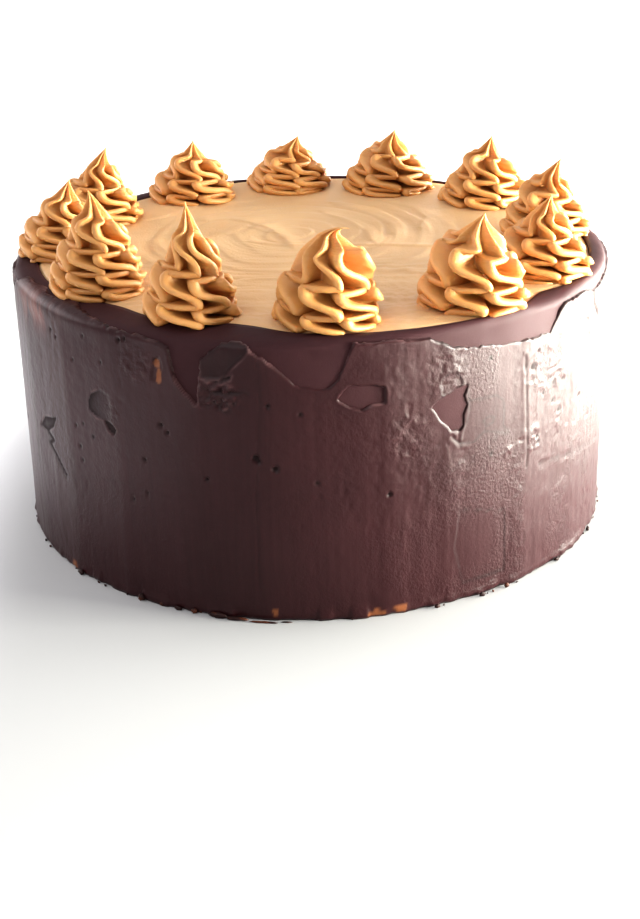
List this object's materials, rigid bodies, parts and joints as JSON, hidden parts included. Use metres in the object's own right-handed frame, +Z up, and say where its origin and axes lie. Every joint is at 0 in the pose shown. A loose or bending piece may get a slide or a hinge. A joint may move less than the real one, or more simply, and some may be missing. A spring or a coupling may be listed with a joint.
{
  "type": "mocha layer cake",
  "caption": "Tall round layer cake in a poured dark chocolate coat, with a mocha buttercream top and a ring of tall piped swirls round its rim.",
  "frame": {"origin": "middle of the cake's flat base", "axes": "+Z up through the middle of the cake; -Y towards the side where the scraped coat's upper edge is torn lowest, which faces the picture's camera"},
  "size_m": [0.2127, 0.2122, 0.1319],
  "materials": {
    "chocolate_coat": "dark chocolate, satin, scraped smooth with small chips",
    "mocha_buttercream": "soft satin buttercream, spread and piped"
  },
  "bodies": {
    "root": {"cake_body": "chocolate_coat", "mocha_top": "mocha_buttercream", "swirl_01": "mocha_buttercream", "swirl_02": "mocha_buttercream", "swirl_03": "mocha_buttercream", "swirl_04": "mocha_buttercream", "swirl_05": "mocha_buttercream", "swirl_06": "mocha_buttercream", "swirl_07": "mocha_buttercream", "swirl_08": "mocha_buttercream", "swirl_09": "mocha_buttercream", "swirl_10": "mocha_buttercream", "swirl_11": "mocha_buttercream", "swirl_12": "mocha_buttercream"}
  },
  "joints": []
}
